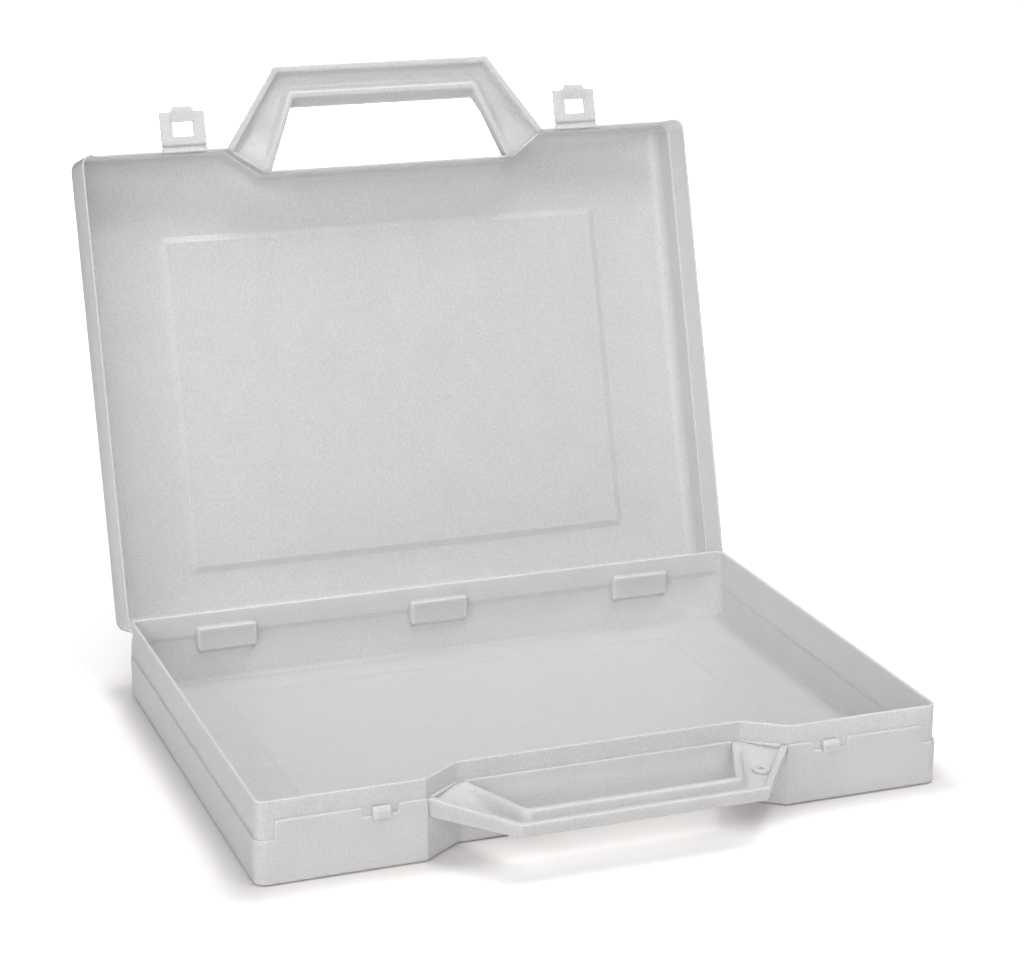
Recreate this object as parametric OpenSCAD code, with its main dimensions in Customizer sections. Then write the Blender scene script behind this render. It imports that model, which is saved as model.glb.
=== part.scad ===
// Moulded carrying case: a base tray and a lid of the same depth, each with half of the
// carry handle, joined at the rear by three snap-on hinges and closed by two latches.
// Millimetres. Origin: centre of the base's underside. +X right, +Y to the rear, +Z up.
// The lid's parts are drawn shut and then swung open, so their sizes read as on the shut case.

/* [Case] */
// Width of the case
case_w = 340; // [320:1:360]
// Depth of the case from front wall to rear wall, without the handle
case_d = 251; // [240:1:262]
// Height of the base up to the parting line
base_h = 31; // [29:0.5:36]
// Height of the lid above the parting line
lid_h = 30.2; // [29:0.2:34]
// Thickness of the walls, the floor and the lid panel
wall = 2; // [1.8:0.1:2.4]
// Rounding along the outer edges of the floor
floor_r = 2; // [1.5:0.5:4]
// Rounding along the outer edges of the lid panel
lid_r = 8; // [5:0.5:9]
// Rounding of the upright corners
corner_r = 6; // [4:0.5:7]

/* [Front recess] */
// Half width of the front recess at the front wall
recess_front = 89.8; // [86:0.2:94]
// Half width of the front recess at its back wall
recess_back = 70.4; // [66:0.2:74]
// Depth of the front recess
recess_d = 13.6; // [12:0.2:18]

/* [Lap joint] */
// Height of the base's collar above the parting line
collar_h = 9.4; // [7:0.2:10]
// Distance from the outer face to the collar's outer face
collar_in = 1.2; // [1.1:0.1:1.4]
// Thickness of the collar
collar_t = 1.6; // [1.4:0.1:1.8]
// Gap between the closed halves at the parting line
part_gap = 0.3; // [0.2:0.1:0.5]
// Height by which the parting line lies lower along the sides
side_drop = 9.2; // [8:0.2:11]
// Width over which the lower line runs on round the front corners
side_wrap = 9.4; // [8:0.2:12]
// Height of the drop in the parting line at each catch
catch_drop = 4.6; // [4:0.2:5]
// Width of the drop at each catch
catch_drop_w = 17.5; // [16:0.5:20]

/* [Handle] */
// Reach of the handle in front of the case
handle_out = 41.4; // [38:0.2:46]
// Half width of the handle at the front wall
handle_root = 89; // [85:0.5:89]
// Half width of the handle's outer edge
handle_tip = 60.4; // [54:0.2:64]
// Thickness of each half of the handle at its outer edge
handle_t = 7; // [6.5:0.5:9]
// Thickness of each half of the handle at the front wall
handle_root_t = 10; // [9:0.5:12]
// Half width of the hand hole at the case
hole_root = 67.4; // [62:0.2:68]
// Half width of the hand hole at its outer edge
hole_tip = 54; // [48:0.2:54]
// Reach of the hand hole in front of the case
hole_out = 25.6; // [22:0.2:27]
// How much the hand hole's front edge slopes inwards towards the handle's outer face
hole_taper = 5; // [4:0.2:6]
// How much the hand hole's sides slope inwards towards the handle's outer face
hole_lean = 0.4; // [0:0.2:2]
// Chamfer along the handle's outer edge
handle_edge = 1; // [0.6:0.1:1.4]
// Thickness of the rim walls round the handle's channel
rim_t = 3; // [2:0.2:3.5]

/* [Latches] */
// Distance of each latch from the middle of the case
latch_x = 111.5; // [109:0.5:116]
// Width of a latch
latch_w = 24.4; // [22:0.2:26]
// Length of a latch from its film hinge
latch_len = 18.6; // [18:0.2:21]
// Thickness of a latch
latch_t = 1.6; // [1.4:0.1:2]
// Height of the film hinge above the parting line
film_z = 6.5; // [6:0.1:7]
// Distance of the film hinge in front of the front wall
film_out = 2.6; // [2.4:0.1:2.8]
// Width of the latch window
window_w = 11; // [10:0.2:12]

/* [Hinges] */
// Distance of the outer hinges from the middle of the case
hinge_x = 118; // [112:1:124]
// Width of a hinge pocket
pocket_w = 28.8; // [26:0.2:32]
// Height of the hinge axis below the parting line
axis_down = 2.5; // [2.3:0.1:2.7]
// Distance of the hinge axis behind the rear wall
axis_back = 2.5; // [2.4:0.1:2.8]
// Radius of the hinge pins
pin_r = 1.6; // [1.4:0.1:1.7]
// Angle at which the open lid meets its stop, counted from shut
open_angle = 106; // [98:1:108]

/* [Label field] */
// Width of the sunk label field in the lid
field_w = 246.4; // [220:0.4:260]
// Length of the sunk label field, from front to rear
field_d = 177.6; // [160:0.2:180]
// Distance from the rear wall to the label field
field_back = 28; // [22:0.5:32]
// Depth of the label field in the lid
field_in = 1.5; // [1:0.1:2]
// Height of the matching field on the floor
floor_in = 0.6; // [0.4:0.1:1]

/* [Hidden] */
$fn = 64;

frost = [0.88, 0.9, 0.91];
e = 0.01;
half_w = case_w / 2;
half_d = case_d / 2;
rim_z = base_h + collar_h;
lid_z = base_h + part_gap;
top_z = lid_z + lid_h;
recess_y = -half_d + recess_d;
ramp = atan2(recess_d, recess_front - recess_back);
skirt_t = collar_in - part_gap;
joggle_z = base_h - 3;
axis_y = half_d + axis_back;
axis_z = base_h - axis_down;
bore_r = pin_r + 0.05;
knuckle_r = axis_back + 0.9;
ear_r = axis_back + 0.7;
ear_t = 2.6;
pocket_d = 3.9;
pocket_z = 21;
pocket_wall = 1.6;
film_y = -half_d - film_out;
film_r = 0.6;
film_h = lid_z + film_z - part_gap;
catch_z = base_h - 5.9;
window_near = 5.3;
window_far = 12.9;
inner_r = 4.7;
skirt_end = half_d - 3.8;
leg_slope = (handle_root - handle_tip) / handle_out;
handle_slope = atan((handle_root_t - handle_t) / handle_out);
boss_at = [recess_back + 0.6, -half_d - 10];

// Outline of the case seen from above, drawn in by i on every side
function outline(i) =
    let (f = recess_front + i * tan(ramp / 2), b = recess_back + i * tan(ramp / 2))
    [[-half_w + i, -half_d + i], [-f, -half_d + i], [-b, recess_y + i],
     [b, recess_y + i], [f, -half_d + i], [half_w - i, -half_d + i],
     [half_w - i, half_d - i], [-half_w + i, half_d - i]];

// Upright block with rounded corners, w by d, from z0 to z1
module upright_block(w, d, r, z0, z1) {
    translate([0, 0, z0]) {
        translate([-w / 2 + r, -d / 2, 0]) cube([w - 2 * r, d, z1 - z0]);
        translate([-w / 2, -d / 2 + r, 0]) cube([w, d - 2 * r, z1 - z0]);
        for (x = [-w / 2 + r, w / 2 - r], y = [-d / 2 + r, d / 2 - r])
            translate([x, y, 0]) cylinder(r = r, h = z1 - z0);
    }
}

// Bar along X, w long and d wide, with its two lower edges rounded by r
module keel_block(w, d, r, z0, z1) {
    translate([-w / 2, -d / 2, z0 + r]) cube([w, d, z1 - z0 - r]);
    translate([-w / 2, -d / 2 + r, z0]) cube([w, d - 2 * r, r + e]);
    for (y = [-d / 2 + r, d / 2 - r])
        translate([-w / 2, y, z0 + r]) rotate([0, 90, 0]) cylinder(r = r, h = w);
}

// Cutter that rounds the lower edge along p to q; the solid lies to the left of p to q
module edge_cutter(p, q, r, z0, before, after) {
    run = norm(q - p);
    translate([p[0], p[1], z0]) rotate([0, 0, atan2(q[1] - p[1], q[0] - p[0])])
        translate([-before, 0, 0]) difference() {
            translate([0, -1, -1]) cube([run + before + after, r + 1, r + 1]);
            translate([-1, r, r]) rotate([0, 90, 0]) cylinder(r = r, h = run + before + after + 2);
        }
}

// Closed body of a half shell, drawn in by i, from its underside rounded by r up to height h
module shell_body(i, r, h) {
    o = outline(i);
    tip = o[2] + (2 * r + 8) * [cos(ramp), sin(ramp)];
    intersection() {
        union() {
            difference() {
                translate([-half_w + i, recess_y + i, i])
                    cube([case_w - 2 * i, half_d - recess_y - 2 * i, h - i]);
                edge_cutter([-half_w, recess_y + i], [half_w, recess_y + i], r, i, 1, 1);
            }
            for (s = [0, 1]) mirror([s, 0, 0]) difference() {
                translate([0, 0, i]) linear_extrude(height = h - i)
                    polygon([o[0], o[1], tip, [-half_w + i, tip[1]]]);
                edge_cutter(o[1], tip, r, i, r + 1, 1);
            }
        }
        upright_block(case_w - 2 * i, case_d - 2 * i, max(corner_r - i, 0.8), i, h);
        keel_block(case_w - 2 * i, case_d - 2 * i, r, i, h);
        rotate([0, 0, 90]) keel_block(case_d - 2 * i, case_w - 2 * i, r, i, h);
    }
}

// Band that follows the outline, between the insets i and j, from z0 to z1
module band(i, j, z0, z1) {
    intersection() {
        translate([0, 0, z0]) linear_extrude(height = z1 - z0) difference() {
            polygon(outline(i));
            polygon(outline(j));
        }
        upright_block(case_w - 2 * i, case_d - 2 * i, max(corner_r - i, 0.8), z0, z1);
    }
}

// Zones along the two sides where the parting line lies lower, up to y1, drawn in by g
module side_zones(z0, z1, g, y1) {
    for (s = [-1, 1])
        translate([s * (half_w - side_wrap + g + 25) - 25, -half_d - 1, z0])
            cube([50, y1 + half_d + 1, z1 - z0]);
}

// Zones round the catches where the parting line drops
module catch_zones(z0, z1) {
    for (s = [-1, 1])
        translate([s * latch_x - catch_drop_w / 2, -half_d - 1, z0])
            cube([catch_drop_w, 4, z1 - z0]);
}

// Plain outline of the handle, drawn in by i, running on behind the front wall
function handle_outline(i) =
    let (lean = atan(1 / leg_slope), k = tan(lean / 2))
    let (x0 = handle_tip - i * k, y0 = -half_d - handle_out + i, y1 = recess_y + 8)
    [[-x0 - leg_slope * (y1 - y0), y1], [-x0, y0], [x0, y0], [x0 + leg_slope * (y1 - y0), y1]];

// Outline of the hand hole, its front corners rounded by r, grown by gx at its sides and by gy
// in front; its rear edge lies on the recess
module hole_outline(gx, gy, r) {
    tip = -half_d - hole_out - gy;
    slope = (hole_root - hole_tip) / (hole_out + recess_d);
    hull() {
        for (s = [-1, 1]) {
            translate([s * (hole_tip - r + gx), tip + r]) circle(r = r, $fn = 32);
            translate([s * (hole_root + gx - 1 - slope), recess_y - 1]) circle(r = 1, $fn = 16);
        }
    }
}

// Plate in the slope of the handle's outer face, h above that face, t thick, over the outline o
module sloping_plate(o, h, t) {
    translate([0, -half_d - handle_out, h]) rotate([-handle_slope, 0, 0])
        translate([0, half_d + handle_out, 0]) linear_extrude(height = t) polygon(o);
}

// Half of the handle: an open channel that lies on the case, with its mouth at z = handle_t
module handle_channel() {
    difference() {
        hull() {
            translate([0, 0, handle_t - 1]) linear_extrude(height = 1) polygon(handle_outline(0));
            sloping_plate(handle_outline(0), handle_edge, 1);
            sloping_plate(handle_outline(handle_edge), 0, 1);
        }
        intersection() {
            translate([0, 0, -10]) linear_extrude(height = handle_t + 20) difference() {
                polygon(handle_outline(rim_t));
                hole_outline(rim_t, rim_t, 5);
            }
            sloping_plate(handle_outline(0), wall, 30);
        }
        hull() {
            translate([0, 0, handle_t]) linear_extrude(height = 1) hole_outline(0, 0, 3.5);
            translate([0, 0, handle_t - handle_root_t - 1]) linear_extrude(height = 1)
                hole_outline(-hole_lean, -hole_taper, 2);
        }
        translate([0, 0, -10]) linear_extrude(height = handle_t + 20) polygon(outline(0));
    }
}

// Swings the closed lid's parts open about the hinge axis
module swung_open() {
    translate([0, axis_y, axis_z]) rotate([-open_angle, 0, 0]) translate([0, -axis_y, -axis_z])
        children();
}

// Pocket bulge in the rear wall, the hollow inside it, and the ears that hold a hinge pin
module pocket_bulge(x) {
    translate([x - pocket_w / 2 - pocket_wall, half_d - pocket_d - pocket_wall, pocket_z - wall])
        cube([pocket_w + 2 * pocket_wall, pocket_d + pocket_wall - e, base_h + 1.6 - pocket_z + wall]);
}

module pocket_hollow(x) {
    translate([x - pocket_w / 2, half_d - pocket_d, pocket_z])
        cube([pocket_w, pocket_d + 1, base_h - pocket_z]);
    translate([x - pocket_w / 2 - pocket_wall - 1, half_d - collar_in, base_h])
        cube([pocket_w + 2 * pocket_wall + 2, 4, 4]);
}

module hinge_ears(x) {
    for (s = [-1, 1])
        translate([x + s * (pocket_w + ear_t) / 2, 0, 0]) rotate([90, 0, 90])
            translate([0, 0, -ear_t / 2]) {
                translate([axis_y, axis_z]) cylinder(r = ear_r, h = ear_t);
                linear_extrude(height = ear_t)
                    polygon([[half_d - 1, pocket_z - 1], [axis_y + 0.75 * ear_r, axis_z - 0.66 * ear_r],
                             [axis_y, axis_z], [half_d + 1, base_h - 0.1], [half_d - 1, base_h - 0.1]]);
            }
}

// Base tray: floor, walls, collar and the three hinge pockets, moulded in one
module base_tray() {
    color(frost) {
        difference() {
            union() {
                difference() {
                    shell_body(0, floor_r, base_h);
                    difference() {
                        shell_body(wall, inner_r, rim_z + 1);
                        mirror([0, 0, 1]) translate([0, 0, -top_z]) label_field(wall + floor_in, floor_in, wall);
                    }
                    intersection() {
                        band(-1, collar_in, base_h - side_drop, base_h + 1);
                        side_zones(base_h - side_drop, base_h + 1, 0, skirt_end + 1);
                    }
                    intersection() {
                        band(-1, collar_in, base_h - catch_drop, base_h + 1);
                        catch_zones(base_h - catch_drop, base_h + 1);
                    }
                }
                band(collar_in, collar_in + collar_t, joggle_z, rim_z);
                intersection() {
                    band(collar_in, collar_in + collar_t, base_h - side_drop - 2, rim_z);
                    union() {
                        side_zones(base_h - side_drop - 2, rim_z, -1, half_d);
                        catch_zones(base_h - catch_drop - 2, rim_z);
                    }
                }
                for (x = [-hinge_x, 0, hinge_x]) {
                    pocket_bulge(x);
                    hinge_ears(x);
                }
            }
            for (x = [-hinge_x, 0, hinge_x]) pocket_hollow(x);
        }
    }
}

// Lower half of the carry handle, with a low round boss on its floor
module base_handle_half() {
    color(frost) {
        translate([0, 0, base_h - handle_t]) handle_channel();
        boss();
    }
}

// Round boss near the handle's right root, with a blind hole
module boss() {
    floor_z = base_h - handle_root_t + wall;
    translate([boss_at[0], boss_at[1], floor_z - 0.5]) difference() {
        cylinder(r = 4.2, h = 4);
        translate([0, 0, 1.5]) cylinder(r = 1.8, h = 4);
    }
}

// Wedge that a latch window snaps over
module catch_wedge(x) {
    y0 = -half_d;
    color(frost) translate([x - 4.1, 0, 0]) rotate([90, 0, 90]) linear_extrude(height = 8.2)
        polygon([[y0, catch_z], [y0 - 1.7, catch_z], [y0 - 2.4, catch_z + 1], [y0 - 2.4, base_h - 1.6],
                 [y0 - 1.2, base_h], [y0 + collar_in, base_h], [y0 + collar_in, base_h - catch_drop],
                 [y0, base_h - catch_drop]]);
}

module catch_left() catch_wedge(-latch_x);
module catch_right() catch_wedge(latch_x);

// Hinge pin moulded between the two ears of a pocket
module hinge_pin(x) {
    color(frost) translate([x - pocket_w / 2, axis_y, axis_z]) rotate([0, 90, 0])
        cylinder(r = pin_r, h = pocket_w);
}

module hinge_pin_left() hinge_pin(-hinge_x);
module hinge_pin_centre() hinge_pin(0);
module hinge_pin_right() hinge_pin(hinge_x);

// Lid shell: panel with its sunk label field, walls, skirt over the collar, latch root blocks
module lid_shell() {
    color(frost) swung_open() {
        difference() {
            union() {
                translate([0, 0, top_z]) mirror([0, 0, 1]) shell_body(0, lid_r, lid_h);
                for (s = [-1, 1]) latch_root(s * latch_x);
            }
            difference() {
                translate([0, 0, top_z]) mirror([0, 0, 1]) shell_body(wall, lid_r - wall, lid_h + 1);
                label_field(wall + field_in, field_in, wall);
            }
            translate([0, 0, lid_z - 1]) linear_extrude(height = rim_z + 0.6 - lid_z + 1)
                polygon(outline(skirt_t));
            label_field(field_in, field_in, 0);
        }
        intersection() {
            band(0, skirt_t, base_h - side_drop + part_gap, lid_z + 1);
            side_zones(base_h - side_drop + part_gap, lid_z + 1, part_gap, skirt_end);
        }
    }
}

// Label field seen on the lid: a plate with sloping edges whose lower face lies depth below
// the top; its edges slope over the height step, and it is grown by g on every side
module label_field(depth, step, g) {
    w = field_w + 2 * g;
    d = field_d + 2 * g;
    translate([0, half_d - field_back - field_d / 2, top_z - depth]) hull() {
        upright_block(w - 2 * step, d - 2 * step, 3, 0, 0.01, $fn = 24);
        upright_block(w + 0.6, d + 0.6, 4.3, step + 0.3, g + step + 1, $fn = 24);
    }
}

// Block on the lid's front wall that carries a film hinge
module latch_root(x) {
    translate([x, 0, 0]) rotate([90, 0, 90]) translate([0, 0, -latch_w / 2])
        linear_extrude(height = latch_w)
            polygon([[-half_d + e, film_h - 3.2], [-half_d - film_out + 1, film_h - 1.6],
                     [-half_d - film_out + 1, film_h + 1.6], [-half_d + e, film_h + 4.2]]);
}

// Upper half of the carry handle
module lid_handle_half() {
    color(frost) swung_open()
        translate([0, 0, lid_z + handle_t]) mirror([0, 0, 1]) handle_channel();
}

// Hook that snaps over a hinge pin: a split ring, its arm to the lid and the lug that stops it
module hinge_hook(x) {
    length = pocket_w - 0.6;
    color(frost) translate([x - length / 2, 0, 0]) difference() {
        union() {
            swung_open() {
                translate([0, axis_y, axis_z]) rotate([0, 90, 0]) cylinder(r = knuckle_r, h = length);
                rotate([90, 0, 90]) linear_extrude(height = length)
                    polygon([[half_d, lid_z + 0.6], [axis_y, axis_z], [axis_y + knuckle_r - 0.2, axis_z + 1],
                             [half_d + 1.6, lid_z + 8.2], [half_d, lid_z + 8.2]]);
            }
            rotate([90, 0, 90]) linear_extrude(height = length)
                polygon([[axis_y, axis_z - 1.6], [half_d - 3.2, axis_z - 1.3],
                         [half_d - 3.2, base_h - 0.05], [half_d - 0.6, base_h - 0.05], [axis_y, axis_z]]);
        }
        translate([-1, axis_y, axis_z]) rotate([0, 90, 0]) cylinder(r = bore_r, h = length + 2);
        swung_open() translate([-1, axis_y - knuckle_r - 1, axis_z - 1.3])
            cube([length + 2, knuckle_r + 1, 2.6]);
    }
}

module hinge_hook_left() hinge_hook(-hinge_x);
module hinge_hook_centre() hinge_hook(0);
module hinge_hook_right() hinge_hook(hinge_x);

// Film hinge: the thin web between the lid and a latch, ending in a bead on the bending line
module film_hinge(x) {
    length = latch_w - 0.4;
    color(frost) swung_open() translate([x - length / 2, 0, 0]) {
        translate([0, film_y, film_h]) rotate([0, 90, 0]) cylinder(r = film_r, h = length);
        translate([0, film_y, film_h - 0.25]) cube([length, 1, 0.5]);
    }
}

module film_hinge_left() film_hinge(-latch_x);
module film_hinge_right() film_hinge(latch_x);

// Latch: a plate with a window for the catch, a thick bar below it and a finger lip
module latch_plate(x) {
    color(frost) swung_open() translate([x, film_y, film_h]) difference() {
        union() {
            translate([-latch_w / 2, -latch_len, -latch_t / 2]) cube([latch_w, latch_len - 0.3, latch_t]);
            translate([-6.3, -latch_len, -latch_t / 2 - 1]) cube([12.6, latch_len - window_far, 1 + e]);
            translate([0, -latch_len, -latch_t / 2 - 1])
                linear_extrude(height = 1.4) polygon([[-6.3, 0], [-5, -2.6], [5, -2.6], [6.3, 0]]);
        }
        translate([-window_w / 2, -window_far, -2]) cube([window_w, window_far - window_near, 4]);
        translate([-latch_w / 2 - 1, 0, 0]) rotate([0, 90, 0]) cylinder(r = film_r + 0.05, h = latch_w + 2);
    }
}

module latch_left() latch_plate(-latch_x);
module latch_right() latch_plate(latch_x);

base_tray();
base_handle_half();
catch_left();
catch_right();
hinge_pin_left();
hinge_pin_centre();
hinge_pin_right();
lid_shell();
lid_handle_half();
hinge_hook_left();
hinge_hook_centre();
hinge_hook_right();
film_hinge_left();
film_hinge_right();
latch_left();
latch_right();
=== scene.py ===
import math
import bmesh
import bpy
import numpy as np
from mathutils import Matrix


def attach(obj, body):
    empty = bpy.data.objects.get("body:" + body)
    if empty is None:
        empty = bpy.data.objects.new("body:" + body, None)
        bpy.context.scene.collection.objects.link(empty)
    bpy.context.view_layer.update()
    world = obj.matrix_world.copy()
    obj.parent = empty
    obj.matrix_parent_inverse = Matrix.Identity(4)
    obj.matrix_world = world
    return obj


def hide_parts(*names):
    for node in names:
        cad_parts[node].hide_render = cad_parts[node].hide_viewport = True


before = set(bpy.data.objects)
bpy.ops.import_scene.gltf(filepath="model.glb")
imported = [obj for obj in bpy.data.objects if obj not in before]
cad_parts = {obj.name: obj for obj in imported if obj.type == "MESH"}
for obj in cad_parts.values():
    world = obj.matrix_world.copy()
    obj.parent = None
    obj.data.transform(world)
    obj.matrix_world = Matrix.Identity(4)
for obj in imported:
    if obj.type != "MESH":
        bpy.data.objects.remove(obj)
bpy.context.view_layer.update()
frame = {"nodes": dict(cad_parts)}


# Studio and camera
# The case stands open on a plain white table. Large soft lamps stand above it, in front and at
# both sides, a small one overhead gives the highlights, and a low one behind it on the right
# shines through the milky plastic.
def set_camera():
    """A camera 1.37 m from the origin, in front and to the left, that looks 20.35 degrees to the
    right and 17 degrees down. Its own axes follow from that direction and a roll about it."""
    azimuth, elevation, roll = (math.radians(a) for a in (20.35016, 16.99892, 0.07519))
    standpoint = (-0.44164, -1.182846, 0.521768)
    ahead = np.array([math.sin(azimuth) * math.cos(elevation),
                      math.cos(azimuth) * math.cos(elevation), -math.sin(elevation)])
    level = np.array([math.cos(azimuth), -math.sin(azimuth), 0.0])
    upright = np.cross(level, ahead)
    side = math.cos(roll) * level + math.sin(roll) * upright
    top = -math.sin(roll) * level + math.cos(roll) * upright
    lens = bpy.data.cameras.new("camera")
    lens.lens, lens.sensor_width, lens.clip_end = 94.75, 36.0, 60.0
    camera = bpy.data.objects.new("camera", lens)
    bpy.context.collection.objects.link(camera)
    place = np.eye(4)
    place[:3, 0], place[:3, 1], place[:3, 2] = side, top, -ahead
    place[:3, 3] = standpoint
    camera.matrix_world = Matrix(place.tolist())
    bpy.context.scene.camera = camera


def add_lamp(name, place, aim, size, power):
    """A square area lamp at place, turned so that it shines towards aim."""
    light = bpy.data.lights.new(name, "AREA")
    light.shape, light.size, light.energy = "SQUARE", size, power
    lamp = bpy.data.objects.new(name, light)
    bpy.context.collection.objects.link(lamp)
    away = np.array(place, float) - np.array(aim, float)
    away /= np.linalg.norm(away)
    side = np.cross((0.0, 0.0, 1.0), away)
    side /= np.linalg.norm(side)
    turn = np.eye(4)
    turn[:3, 0], turn[:3, 1], turn[:3, 2], turn[:3, 3] = side, np.cross(away, side), away, place
    lamp.matrix_world = Matrix(turn.tolist())
    return lamp


set_camera()
lamp_aim = (0.0, 0.05, 0.1)
# Each lamp's name, its place and side in metres, and its power in watts
lamps = [("top_lamp", (0.0, 0.0, 2.8), 2.0, 30.0),
         ("key_lamp", (0.36, -0.62, 2.0), 0.5, 8.0),
         ("front_lamp", (-0.6, -2.6, 1.25), 1.8, 30.0),
         ("left_lamp", (-1.8, -1.2, 1.2), 1.5, 19.0),
         ("right_lamp", (1.8, 0.2, 2.0), 1.5, 14.0),
         ("rear_lamp", (0.75, 2.1, 0.35), 1.1, 30.0)]
for name, place, size, power in lamps:
    lamp = add_lamp(name, place, lamp_aim, size, power)
    # The rear lamp only shines through the plastic and leaves no mirror image on it
    lamp.visible_glossy = name != "rear_lamp"


def light_tent():
    """A world that is pure white to the camera and lights the case only faintly."""
    world = bpy.data.worlds.new("light_tent")
    world.use_nodes = True
    nodes, links = world.node_tree.nodes, world.node_tree.links
    nodes.clear()
    tent, seen = nodes.new("ShaderNodeBackground"), nodes.new("ShaderNodeBackground")
    for background, strength in ((tent, 0.02), (seen, 1.0)):
        background.inputs["Color"].default_value = (1.0, 1.0, 1.0, 1.0)
        background.inputs["Strength"].default_value = strength
    ray = nodes.new("ShaderNodeLightPath")
    choose = nodes.new("ShaderNodeMixShader")
    end = nodes.new("ShaderNodeOutputWorld")
    links.new(ray.outputs["Is Camera Ray"], choose.inputs[0])
    links.new(tent.outputs[0], choose.inputs[1])
    links.new(seen.outputs[0], choose.inputs[2])
    links.new(choose.outputs[0], end.inputs[0])
    return world


bpy.context.scene.world = light_tent()
bpy.context.scene.view_settings.view_transform = "Standard"


def white_table():
    """Matt white table. To the camera it also glows, least within 3 cm of the case and most far off, so that
    the rest reads as pure white. The weaker glow near the case is painted shade: a contact shadow drawn round
    the case's footprint on top of the one the lamps cast. The distance is the length of what is left of
    |place| once the case's half width and depth are taken off."""
    footprint = (0.170, 0.1255, 1.0)
    # Painted shade: within these distances of the footprint the glow is dimmed, darkening the table round the
    # case whatever the lamps do
    shade_ring_distances, shade_ring_glow = (0.0, 0.03), 0.42
    far_distances, far_glow = (0.15, 1.5), 0.6
    table = bpy.data.materials.new("white_table")
    table.use_nodes = True
    nodes, links = table.node_tree.nodes, table.node_tree.links
    nodes.clear()
    paint = nodes.new("ShaderNodeBsdfDiffuse")
    paint.inputs["Color"].default_value = (0.82, 0.80, 0.79, 1.0)
    glow = nodes.new("ShaderNodeEmission")
    glow.inputs["Color"].default_value = (1.0, 1.0, 1.0, 1.0)
    place = nodes.new("ShaderNodeTexCoord")
    steps = [nodes.new("ShaderNodeVectorMath") for _ in range(4)]
    for step, operation in zip(steps, ("ABSOLUTE", "SUBTRACT", "MAXIMUM", "LENGTH")):
        step.operation = operation
    steps[1].inputs[1].default_value = footprint
    steps[2].inputs[1].default_value = (0.0, 0.0, 0.0)
    near, far = nodes.new("ShaderNodeMapRange"), nodes.new("ShaderNodeMapRange")
    near.interpolation_type = "SMOOTHSTEP"
    for ramp, distances, strength in ((near, shade_ring_distances, shade_ring_glow), (far, far_distances, far_glow)):
        ramp.inputs["From Min"].default_value, ramp.inputs["From Max"].default_value = distances
        ramp.inputs["To Min"].default_value, ramp.inputs["To Max"].default_value = 0.0, strength
    total, level = nodes.new("ShaderNodeMath"), nodes.new("ShaderNodeMath")
    total.operation, level.operation = "ADD", "MULTIPLY"
    path = nodes.new("ShaderNodeLightPath")
    both = nodes.new("ShaderNodeAddShader")
    out = nodes.new("ShaderNodeOutputMaterial")
    links.new(place.outputs["Object"], steps[0].inputs[0])
    for before, after in zip(steps, steps[1:]):
        links.new(before.outputs["Vector"], after.inputs[0])
    links.new(steps[3].outputs["Value"], near.inputs["Value"])
    links.new(steps[3].outputs["Value"], far.inputs["Value"])
    links.new(near.outputs["Result"], total.inputs[0])
    links.new(far.outputs["Result"], total.inputs[1])
    links.new(total.outputs[0], level.inputs[0])
    links.new(path.outputs["Is Camera Ray"], level.inputs[1])
    links.new(level.outputs[0], glow.inputs["Strength"])
    links.new(paint.outputs[0], both.inputs[0])
    links.new(glow.outputs[0], both.inputs[1])
    links.new(both.outputs[0], out.inputs["Surface"])
    return table


def lay_table(reach, height):
    """One large square face, a hair below the case's underside."""
    mesh = bpy.data.meshes.new("table")
    corners = [(-reach, -reach, height), (reach, -reach, height),
               (reach, reach, height), (-reach, reach, height)]
    mesh.from_pydata(corners, [], [(0, 1, 2, 3)])
    mesh.materials.append(white_table())
    table = bpy.data.objects.new("table", mesh)
    bpy.context.collection.objects.link(table)
    return table


table_top = lay_table(9.0, -0.0002)


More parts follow.
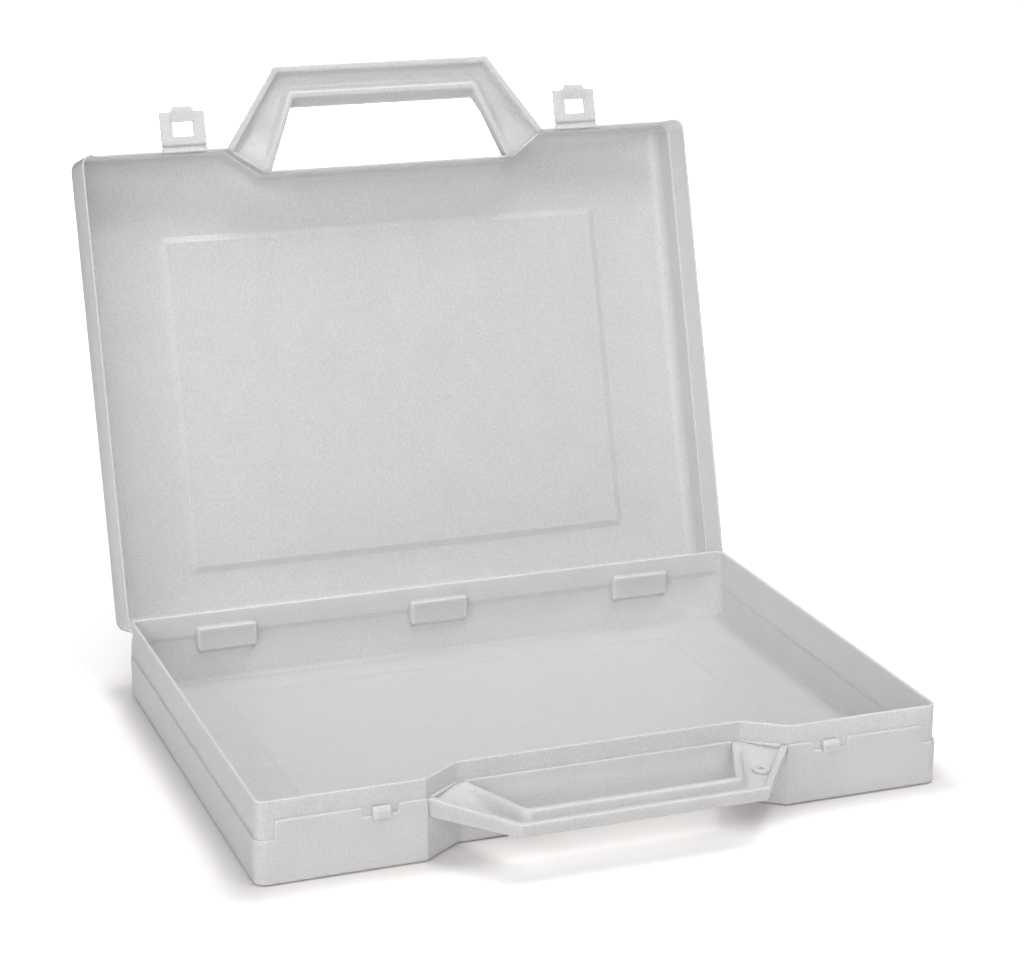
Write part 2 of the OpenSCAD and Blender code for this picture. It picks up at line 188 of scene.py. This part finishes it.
# Base tray
# The lower half of the case is one injection moulding in natural polypropylene, 2 mm thick, with
# a satin face. Its wall steps in at the parting line to a thin collar that the lid slides over,
# and three hinge pockets are pressed into the rear wall. All its sizes are in millimetres.
def frosted(name):
    """Natural polypropylene with a spark-eroded satin grain: milky, so that light spreads inside
    it and comes through thin walls, and slightly cloudy. The tone is a fine and a coarse noise
    mixed, read through a narrow ramp of greys; the fine one also lifts the face."""
    material = bpy.data.materials.new(name)
    material.use_nodes = True
    nodes, links = material.node_tree.nodes, material.node_tree.links
    shader = nodes["Principled BSDF"]
    shader.inputs["Roughness"].default_value = 0.33
    shader.inputs["IOR"].default_value = 1.49
    shader.inputs["Subsurface Weight"].default_value = 1.0
    shader.inputs["Subsurface Radius"].default_value = (1.0, 1.0, 1.0)
    shader.inputs["Subsurface Scale"].default_value = 0.004
    place = nodes.new("ShaderNodeTexCoord")
    grain, cloud = nodes.new("ShaderNodeTexNoise"), nodes.new("ShaderNodeTexNoise")
    grain.inputs["Scale"].default_value, grain.inputs["Detail"].default_value = 1100.0, 2.0
    cloud.inputs["Scale"].default_value, cloud.inputs["Detail"].default_value = 60.0, 5.0
    mixed = nodes.new("ShaderNodeMix")
    mixed.inputs["Factor"].default_value = 0.16
    shade = nodes.new("ShaderNodeValToRGB")
    darker, lighter = shade.color_ramp.elements
    darker.position, darker.color = 0.3, (0.59, 0.592, 0.592, 1.0)
    lighter.position, lighter.color = 0.7, (0.72, 0.722, 0.722, 1.0)
    bump = nodes.new("ShaderNodeBump")
    bump.inputs["Strength"].default_value = 0.15
    bump.inputs["Distance"].default_value = 0.0002
    links.new(place.outputs["Object"], grain.inputs["Vector"])
    links.new(place.outputs["Object"], cloud.inputs["Vector"])
    links.new(grain.outputs["Fac"], mixed.inputs[2])
    links.new(cloud.outputs["Fac"], mixed.inputs[3])
    links.new(mixed.outputs[0], shade.inputs["Fac"])
    links.new(shade.outputs["Color"], shader.inputs["Base Color"])
    links.new(grain.outputs["Fac"], bump.inputs["Height"])
    links.new(bump.outputs["Normal"], shader.inputs["Normal"])
    return material


slot_name = "frosted_polypropylene"
satin = frosted(slot_name)

half_width, half_depth, corner_radius = 170.0, 125.5, 6.0
# The front recess behind the handle: half widths at its mouth and at its back, and the back's y
recess_mouth, recess_back, recess_y, recess_radius = 89.8, 70.4, -111.9, 1.2
case_corners = np.array([(-half_width, -half_depth), (-recess_mouth, -half_depth),
                         (-recess_back, recess_y), (recess_back, recess_y),
                         (recess_mouth, -half_depth), (half_width, -half_depth),
                         (half_width, half_depth), (-half_width, half_depth)])
case_radii = np.array([corner_radius] + [recess_radius] * 4 + [corner_radius] * 3)

# Heights above the table, and the drops of the parting line along the sides and at the catches
parting_z, collar_top, side_drop, catch_drop = 31.0, 40.4, 9.2, 4.6
wall, collar_step = 2.0, 1.2
hinge_places, pocket_half, pocket_end = (-118.0, 0.0, 118.0), 14.4, 16.2
catch_x, catch_half = 111.5, 8.75
side_start = 160.6
# By the number of an edge's first corner: places along it where the wall changes fast, with the
# width of each change
edge_steps = {0: [(half_width - side_start, 0.9)]
                 + [(half_width - catch_x + s * catch_half, 0.6) for s in (-1, 1)],
              4: [(catch_x - recess_mouth + s * catch_half, 0.6) for s in (-1, 1)]
                 + [(side_start - recess_mouth, 0.9)],
              6: [(half_width - x + s * d, w) for x in hinge_places for s in (-1, 1)
                  for d, w in ((pocket_half, 0.12), (pocket_end, 2.2))]}


def walk_round(corners, radii, steps):
    """Stations round a closed outline: an arc of unit directions at each corner, then places
    along the straight to the next one, 6 mm apart and closer across each named step."""
    run = np.roll(corners, -1, 0) - corners
    length = np.linalg.norm(run, axis=1)
    inward = np.stack([-run[:, 1], run[:, 0]], 1) / length[:, None]
    before = np.roll(inward, 1, 0)
    cosine = (before * inward).sum(1)
    bend = np.arctan2(before[:, 0] * inward[:, 1] - before[:, 1] * inward[:, 0], cosine)
    mitre = (before + inward) / (1.0 + cosine)[:, None]
    tangent = radii * np.tan(np.abs(bend) / 2.0)
    spacing, clear = 6.0, 0.02
    points = np.where(radii > 3.0, 17, 7)
    first, second, toward, share = [], [], [], []
    for k in range(len(corners)):
        n = points[k]
        angle = math.atan2(before[k, 1], before[k, 0]) + bend[k] * np.linspace(0, 1, n)
        first.append(np.full(n, k))
        second.append(np.full(n, k))
        toward.append(np.stack([np.cos(angle), np.sin(angle)], 1))
        share.append(np.zeros(n))
        following = (k + 1) % len(corners)
        low, high = tangent[k], length[k] - tangent[following]
        marks = [np.linspace(low, high, max(int((high - low) / spacing), 3) + 1)]
        marks += [s + w * np.linspace(-0.5, 0.5, 7) for s, w in steps.get(k, [])]
        marks = np.unique(np.round(np.concatenate(marks), 3))
        marks = marks[(marks > low + clear) & (marks < high - clear)]
        first.append(np.full(len(marks), k))
        second.append(np.full(len(marks), following))
        toward.append(np.repeat(inward[k][None], len(marks), 0))
        share.append((marks - low) / (high - low))
    return (np.concatenate(first), np.concatenate(second), np.concatenate(toward),
            np.concatenate(share), mitre, bend > 0)


walk = walk_round(case_corners, case_radii, edge_steps)


def drawn_in(inset):
    """The case's outline drawn in by inset, one value for each station and profile point. At an
    outward corner the arc shrinks to 0.8 mm and then slides along the mitre; at an inward corner
    it grows; straights run between the arcs' ends."""
    first, second, toward, share, mitre, convex = walk
    u = toward[:, None, :]

    def at_corner(k):
        v, m, r = case_corners[k][:, None, :], mitre[k][:, None, :], case_radii[k][:, None]
        rho = np.maximum(r - inset, 0.8)
        outer = v + (inset + rho)[..., None] * m - rho[..., None] * u
        inner = v - r[..., None] * m + (r + inset)[..., None] * u
        return np.where(convex[k][:, None, None], outer, inner)

    t = share[:, None, None]
    return (1.0 - t) * at_corner(first) + t * at_corner(second)


outline = drawn_in(np.zeros((len(walk[0]), 1)))[:, 0]
core_x, core_y = half_width - corner_radius, half_depth - corner_radius
along_front = (outline[:, 1] < -100.0) & (np.abs(outline[:, 0]) < core_x - 0.1)


def field_rings(rings):
    """Each ring (half width, half depth, corner radius, height) is a rounded rectangle centred
    8.7 mm behind the case's middle, with one point for each station: the station's place in the
    outline without its corners is scaled, the front recess straightened, and the radius added."""
    core = np.clip(outline, (-core_x, -core_y), (core_x, core_y)) / (core_x, core_y)
    core[along_front, 1] = -1.0
    out = -walk[2].copy()
    out[along_front] = (0.0, -1.0)
    lines = [np.concatenate([core * (half_x - r, half_y - r) + r * out + (0.0, 8.7),
                             np.full((len(outline), 1), z)], 1) for half_x, half_y, r, z in rings]
    return np.stack(lines, 1)


def wall_rows(rows):
    """Rows (inset, height, bend) as points: the outline drawn in by inset, at that height."""
    blank = np.zeros(len(outline))
    inset = np.stack([blank + row[0] for row in rows], 1)
    height = np.stack([blank + row[1] for row in rows], 1)
    return np.concatenate([drawn_in(inset), height[..., None]], 2), [row[2] for row in rows]


def eased(value, low, high):
    """0 below low, 1 above high, with a smooth S between."""
    t = np.clip((value - low) / (high - low), 0.0, 1.0)
    return t * t * (3.0 - 2.0 * t)


def on_sides(near, far, rear):
    """1 along the two sides, where the parting line lies lower, and 0 elsewhere. It grows with
    |x| from near to far, and ends over 1.2 mm about y = rear."""
    x, y = outline[:, 0], outline[:, 1]
    return eased(np.abs(x), near, far) * (1.0 - eased(y, rear - 0.6, rear + 0.6))


def bent(points, radii, steps=5, closed=False):
    """Corner points (stations x corners x 3) joined by straight lines, each bend replaced by a
    conic arc: d is the radius over the tangent of the half angle, cut to the share of the two
    straights that the bend may use, and the conic's weight is the sine of the half angle."""
    radii = np.asarray(radii, float)
    ahead = np.roll(points, -1, 1) - points
    back = np.roll(points, 1, 1) - points
    la, lb = np.linalg.norm(ahead, axis=2), np.linalg.norm(back, axis=2)
    ua, ub = ahead / np.maximum(la, 1e-9)[..., None], back / np.maximum(lb, 1e-9)[..., None]
    cosine = np.clip((ua * ub).sum(2), -1.0, 1.0)
    weight = np.sqrt((1.0 - cosine) / 2.0)
    d = radii * np.sqrt((1.0 + cosine) / np.maximum(1.0 - cosine, 1e-6))
    share_a = radii / np.maximum(radii + np.roll(radii, -1), 1e-9)
    share_b = radii / np.maximum(radii + np.roll(radii, 1), 1e-9)
    d = np.minimum(d, 0.98 * np.minimum(la * share_a, lb * share_b))
    a, b = points + ub * d[..., None], points + ua * d[..., None]
    s = np.linspace(0.0, 1.0, steps)[None, :, None]
    parts = []
    for k in range(points.shape[1]):
        if radii[k] == 0 or (not closed and k in (0, points.shape[1] - 1)):
            parts.append(points[:, k:k + 1])
            continue
        w = weight[:, k, None, None]
        arc = (1 - s) ** 2 * a[:, k, None] + 2 * s * (1 - s) * w * points[:, k, None] + s ** 2 * b[:, k, None]
        parts.append(arc / ((1 - s) ** 2 + 2 * s * (1 - s) * w + s ** 2))
    return np.concatenate(parts, 1)


def skinned(name, grid, wrap_a=True, wrap_b=False, capped=True):
    """A mesh over a grid of places in millimetres: quads between neighbours, doubles merged,
    the open ends closed by a flat face each, and edges sharper than 32 degrees kept crisp."""
    na, nb = grid.shape[:2]
    index = np.arange(na * nb).reshape(na, nb)
    p = index if wrap_a else index[:-1]
    q = np.roll(index, -1, 0) if wrap_a else index[1:]
    if wrap_b:
        quads = np.stack([p, q, np.roll(q, -1, 1), np.roll(p, -1, 1)], 2).reshape(-1, 4)
    else:
        quads = np.stack([p[:, :-1], q[:, :-1], q[:, 1:], p[:, 1:]], 2).reshape(-1, 4)
    faces = quads.tolist()
    if capped:
        ends = (index[:, 0], index[:, -1]) if wrap_a else (index[-1], index[0])
        faces += [ends[0].tolist()[::-1], ends[1].tolist()]
    mesh = bpy.data.meshes.new(name)
    mesh.from_pydata((grid.reshape(-1, 3) * 0.001).tolist(), [], faces)
    work = bmesh.new()
    work.from_mesh(mesh)
    bmesh.ops.remove_doubles(work, verts=work.verts, dist=2e-6)
    bmesh.ops.dissolve_degenerate(work, edges=work.edges, dist=1e-6)
    bmesh.ops.recalc_face_normals(work, faces=work.faces)
    if work.calc_volume(signed=True) < 0:
        bmesh.ops.reverse_faces(work, faces=work.faces)
    work.to_mesh(mesh)
    work.free()
    mesh.shade_smooth()
    mesh.set_sharp_from_angle(angle=math.radians(32.0))
    piece = bpy.data.objects.new(name, mesh)
    bpy.context.collection.objects.link(piece)
    return piece


def fitted(piece, body, *nodes):
    """Gives a piece its weighted normals, finish and body, and hides the CAD nodes it stands for."""
    shading = piece.modifiers.new("even_shading", "WEIGHTED_NORMAL")
    shading.keep_sharp = True
    piece.data.materials.append(satin)
    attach(piece, body)
    if nodes:
        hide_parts(*nodes)


def tray_corners():
    """The tray's section at every station, from the underside out and up over the collar and
    down inside to the floor's raised field. Each row is (inset, height, bend)."""
    x, y = outline[:, 0], outline[:, 1]
    wall_line = half_depth - 1.5
    side = on_sides(160.0, 161.2, 122.7)
    from_catch = np.where(y < -wall_line, np.abs(np.abs(x) - catch_x), np.inf)
    dip = 1.0 - eased(from_catch, catch_half - 0.4, catch_half + 0.4)
    from_hinge = np.where(y > wall_line, np.abs(x[:, None] - hinge_places).min(1), np.inf)
    hollow = 1.0 - np.clip((from_hinge - pocket_half + 0.05) / 0.1, 0.0, 1.0)
    bulge = 1.0 - eased(from_hinge, pocket_end - 1.0, pocket_end + 1.0)
    parting = parting_z - side_drop * side - catch_drop * dip
    low = np.maximum(side, dip * 0.5)
    pocket_depth, collar_inner, bulge_inset = 3.9, 2.8, 5.5

    def inside(normal, at_side, at_pocket):
        """A value of the inner face, blended to those at the lower parting line and the pockets."""
        return normal + (at_side - normal) * low + (at_pocket - normal) * bulge

    # The underside, the outer face and the pocket in it
    rows = [(9.0, 0.0, 0.0), (0.0, 0.0, 2.0),
            (0.0, 14.0 + 7.0 * hollow, 0.25), (pocket_depth * hollow, 15.2 + 5.8 * hollow, 0.5),
            (pocket_depth * hollow, parting, 0.3)]
    # The step at the parting line and the collar
    rows += [(collar_step, parting, 0.3), (collar_step, collar_top, 0.45),
             (collar_inner, collar_top, 0.45), (collar_inner, inside(30.2, 21.6, 33.4), 0.8)]
    # The inner face, with the back of the step and of the pocket, and the floor
    rows += [(inside(collar_inner, collar_inner, bulge_inset), inside(28.8, 20.4, 32.6), 0.8),
             (inside(wall, wall, bulge_inset), inside(26.2, 18.2, 20.4), 1.8),
             (wall, inside(24.8, 17.0, 18.8), 1.4), (wall, wall, 3.6), (10.0, wall, 0.0)]
    under = field_rings([(118.0, 84.0, 4.0, 0.0)])
    walls, bends = wall_rows(rows)
    raised = wall + 0.6
    field = field_rings([(126.6, 92.4, 5.0, wall), (123.2, 89.0, 4.0, raised), (110.0, 76.0, 3.0, raised)])
    return np.concatenate([under, walls, field], 1), [0.0] + bends + [3.0, 3.0, 0.0]


tray = skinned("tray", bent(*tray_corners()))
fitted(tray, "base", "base_tray")


# Hinge ears
# Each hinge pocket has an ear at either end, moulded on the rear wall, that holds the hinge pin.
# They are of the same plastic, and their edges are eased as on the rest of the moulding.
hinge_y, hinge_z = 128.0, 28.5


def ear(name, x0, x1):
    """A plate across x with a round end: in the yz plane an arc of 3.2 mm radius about the hinge
    axis, joined to the wall by straight lines, and drawn in a little towards both faces."""
    radius, wall_y, bottom, top = 3.2, half_depth - 0.9, 20.2, 30.9
    turn = np.radians(np.linspace(-115, 115, 17))[2:]
    arc = np.stack([hinge_y + radius * np.cos(turn), hinge_z + radius * np.sin(turn)], 1)
    side = np.concatenate([[(wall_y, bottom)], arc, [(wall_y + 1.8, top), (wall_y, top)]])
    away = side - side.mean(0)
    away /= np.linalg.norm(away, axis=1, keepdims=True)
    layers = ((x0, 0.3), (x0 + 0.1, 0.08), (x0 + 0.3, 0.0), (x1 - 0.3, 0.0), (x1 - 0.1, 0.08), (x1, 0.3))
    grid = [np.concatenate([np.full((len(side), 1), x), side - away * shrink], 1) for x, shrink in layers]
    fitted(skinned(name, np.array(grid), wrap_a=False, wrap_b=True), "base")


ear_width = 2.6
for number, x in enumerate(hinge_places, 1):
    ear("hinge_ear_%d_left" % number, x - pocket_half - ear_width, x - pocket_half)
    ear("hinge_ear_%d_right" % number, x + pocket_half, x + pocket_half + ear_width)


# Lid
# The upper half is the second moulding: a panel with a sunk label field, walls with a generous
# round to the panel, and a thinner skirt that slides over the tray's collar. It is worked out
# shut and then swung open about the hinge axis.
lid_top, mouth_gap, open_degrees = 61.5, 0.3, 106.0


def swung(points):
    """Turns places of the shut lid open about the hinge axis: a plane rotation of y and z."""
    a = math.radians(-open_degrees)
    y, z = points[..., 1] - hinge_y, points[..., 2] - hinge_z
    return np.stack([points[..., 0], hinge_y + y * math.cos(a) - z * math.sin(a),
                     hinge_z + y * math.sin(a) + z * math.cos(a)], -1)


def lid_corners():
    """The lid's section at every station, from the sunk field outwards, down the wall, round
    the skirt's edge and back up inside to the field's raised back."""
    edge = parting_z + mouth_gap - side_drop * on_sides(160.3, 166.0, 121.7)
    skirt, ceiling, sunk = 0.9, lid_top - wall, 1.5
    rows = [(9.0, lid_top, 0.0), (0.0, lid_top, 8.0), (0.0, edge, 0.3), (skirt, edge, 0.25),
            (skirt, collar_top + 0.6, 0.3), (wall, collar_top + 1.2, 0.5),
            (wall, ceiling, 6.0), (9.2, ceiling, 0.0)]
    outside = field_rings([(115.0, 81.0, 0.6, lid_top - sunk), (121.3, 86.7, 1.0, lid_top - sunk),
                           (124.9, 90.3, 2.4, lid_top)])
    inside = field_rings([(125.5, 90.9, 2.4, ceiling), (121.9, 87.3, 1.0, ceiling - sunk),
                          (116.0, 82.0, 0.6, ceiling - sunk)])
    walls, bends = wall_rows(rows)
    return np.concatenate([outside, walls, inside], 1), [0.0, 0.6, 1.2] + bends + [1.2, 0.5, 0.0]


lid = skinned("lid", swung(bent(*lid_corners())))
fitted(lid, "lid", "lid_shell")


def latch_root(name, x):
    """A block along the lid's front wall, 24.4 mm wide, to which a latch's film hinge is joined:
    one six-sided outline in the yz plane, carried along x and drawn in at both ends."""
    side = np.array([(-125.0, 34.3), (-125.6, 34.3), (-127.1, 35.9),
                     (-127.1, 39.1), (-125.6, 41.7), (-125.0, 41.7)])
    layers = ((x - 12.2, 0.4), (x - 11.8, 0.0), (x + 11.8, 0.0), (x + 12.2, 0.4))
    grid = [np.concatenate([np.full((len(side), 1), place), side + (back, 0.0)], 1) for place, back in layers]
    fitted(skinned(name, swung(np.array(grid)), wrap_a=False, wrap_b=True), "lid")


latch_root("latch_root_left", -catch_x)
latch_root("latch_root_right", catch_x)


# Carry handle
# Each moulding carries half of the handle: an open channel with an outer rim, a floor that
# slopes away towards the case and a rounded rim round the hand hole. The legs grow out of the
# ramps of the front recess.
sink = 0.6


def leg_line(tip_x, tip_y, slope, r):
    """Plan of one line of the handle, from where it sinks into the case along the leg, round the
    corner by a conic arc of radius r and along the bar to the middle, then mirrored. Leg and bar
    would meet at the tip, and slope is how far the leg runs outwards for each unit along y."""
    ramp = np.array([recess_mouth - recess_back, half_depth + recess_y])
    ramp_x, ramp_y = ramp / np.linalg.norm(ramp)
    start_x, start_y = -recess_mouth - sink * ramp_y, -half_depth + sink * ramp_x
    t = (-tip_x - slope * (start_y - tip_y) - start_x) / (ramp_x + slope * ramp_y)
    end_y = min(start_y + t * ramp_y, recess_y + sink)
    corner = np.array([-tip_x, tip_y])
    end = np.array([-tip_x - slope * (end_y - tip_y), end_y])
    leg = (end - corner) / np.linalg.norm(end - corner)
    half = math.acos(leg[0]) / 2.0
    w, d = math.sin(half), r / math.tan(half)
    a, b = corner + leg * d, corner + np.array([d, 0.0])
    s = np.linspace(0, 1, 13)[:, None]
    arc = (1 - s) ** 2 * a + 2 * s * (1 - s) * w * corner + s ** 2 * b
    arc /= (1 - s) ** 2 + 2 * s * (1 - s) * w + s ** 2
    straight = end + (a - end) * np.linspace(0, 1, 15)[:-1, None]
    bar = b + (np.array([0.0, tip_y]) - b) * np.linspace(0, 1, 9)[1:, None]
    left = np.concatenate([straight, arc, bar])
    return np.concatenate([left, left[-2::-1] * (-1.0, 1.0)])


def handle_grid():
    """The channel's section carried round the handle, in the base's own place: mouth at the
    parting line, outer face 7 mm below it at the bar and 10 mm at the case. The floor is dished
    and rises to the mouth where the legs run into the case; the hole's edge is thinner along the
    legs. Each line is its plan, its level, what is added to that, and its bend."""
    bar_y = -166.9

    def outer_line(g, r):
        """The handle's outer edge, drawn in by g."""
        return leg_line(60.4 - 0.525 * g, bar_y + g, 0.691, r)

    def hole_line(g, r):
        """The hand hole's edge at the mouth, let out by g."""
        return leg_line(51.0 + 0.673 * g, -150.1 - g, 0.407, r)

    def far_line(g, r):
        """The hand hole's edge at the outer face, let out by g: the hole is tapered."""
        return leg_line(51.7 + 0.655 * g, -144.8 - g, 0.44, r)

    lines = [(outer_line(0.9, 2.4), "face", 0.0, 2.0), (outer_line(0.0, 1.0), "mouth", 0.0, 0.5),
             (outer_line(3.0, 1.6), "mouth", 0.0, 0.9), (outer_line(4.4, 2.0), "floor", 2.0, 3.4),
             (hole_line(5.0, 6.0), "floor", 2.0, 3.4), (hole_line(3.0, 5.0), "mouth", -0.1, 1.6),
             (hole_line(0.0, 2.4), "mouth", -0.1, 1.0), (far_line(0.0, 1.2), "thin", 0.0, 0.6),
             (far_line(3.2, 2.0), "face", 0.0, 1.6)]
    points = []
    for plan, level, add, _ in lines:
        y = plan[:, 1]
        face = 24.0 - 0.0725 * (y - bar_y)
        z = {"face": face + add, "mouth": np.full(len(plan), parting_z + add),
             "floor": face + add + (28.6 - face) * eased(y, -141.0, -114.0),
             "thin": face + 4.2 * eased(y, -145.0, -136.0)}[level]
        points.append(np.concatenate([plan, z[:, None]], 1))
    return bent(np.stack(points, 1), [line[3] for line in lines], closed=True)


base_handle = skinned("base_handle", handle_grid(), wrap_a=False, wrap_b=True)
fitted(base_handle, "base", "base_handle_half")
mirrored = handle_grid()
mirrored[..., 2] = 2.0 * parting_z + mouth_gap - mirrored[..., 2]
lid_handle = skinned("lid_handle", swung(mirrored), wrap_a=False, wrap_b=True)
fitted(lid_handle, "lid", "lid_handle_half")


def boss(name, x, y):
    """A low round boss on the channel's floor, 8.4 mm across, with a blind hole of 3.6 mm: a
    profile of (radius, height) turned about its own middle."""
    profile = np.array([(0.0, 24.0), (1.8, 24.0), (1.8, 26.2), (2.1, 26.5),
                        (3.8, 26.5), (4.2, 26.1), (4.2, 22.4), (0.0, 22.4)])
    turn = np.radians(np.arange(0, 360, 10))[:, None]
    radius, height = profile[:, 0], np.tile(profile[:, 1], (len(turn), 1))
    grid = np.stack([x + np.cos(turn) * radius, y + np.sin(turn) * radius, height], 2)
    fitted(skinned(name, grid, capped=False), "base")


boss("handle_boss", 71.0, -135.5)


# Small fittings
# The latches hang on film hinges and snap over the catches; they keep the CAD shape, with the
# eased edges of moulded parts. The hinge pins, hooks and film hinges, too fine for that, stay.
def eased_copy(node, body, width):
    """A copy of a CAD node, its loose triangles merged into flat faces and its edges rounded."""
    mesh = node.data.copy()
    work = bmesh.new()
    work.from_mesh(mesh)
    bmesh.ops.remove_doubles(work, verts=work.verts, dist=2e-6)
    bmesh.ops.dissolve_limit(work, angle_limit=math.radians(1.0), verts=work.verts, edges=work.edges)
    bmesh.ops.recalc_face_normals(work, faces=work.faces)
    work.to_mesh(mesh)
    work.free()
    crisp = math.radians(28.0)
    mesh.materials.clear()
    mesh.shade_smooth()
    mesh.set_sharp_from_angle(angle=crisp)
    piece = bpy.data.objects.new(node.name + "_eased", mesh)
    bpy.context.collection.objects.link(piece)
    rounding = piece.modifiers.new("eased_edges", "BEVEL")
    rounding.width, rounding.segments = width, 2
    rounding.limit_method, rounding.angle_limit = "ANGLE", crisp
    piece.modifiers.new("joined_slivers", "WELD").merge_threshold = 0.00002
    fitted(piece, body, node.name)


nodes = frame["nodes"]
for node in nodes.values():
    node.data.materials.clear()
    node.data.materials.append(satin)
for side in ("left", "right"):
    eased_copy(nodes["latch_" + side], side + "_latch", 0.00025)
    eased_copy(nodes["catch_" + side], "base", 0.0004)
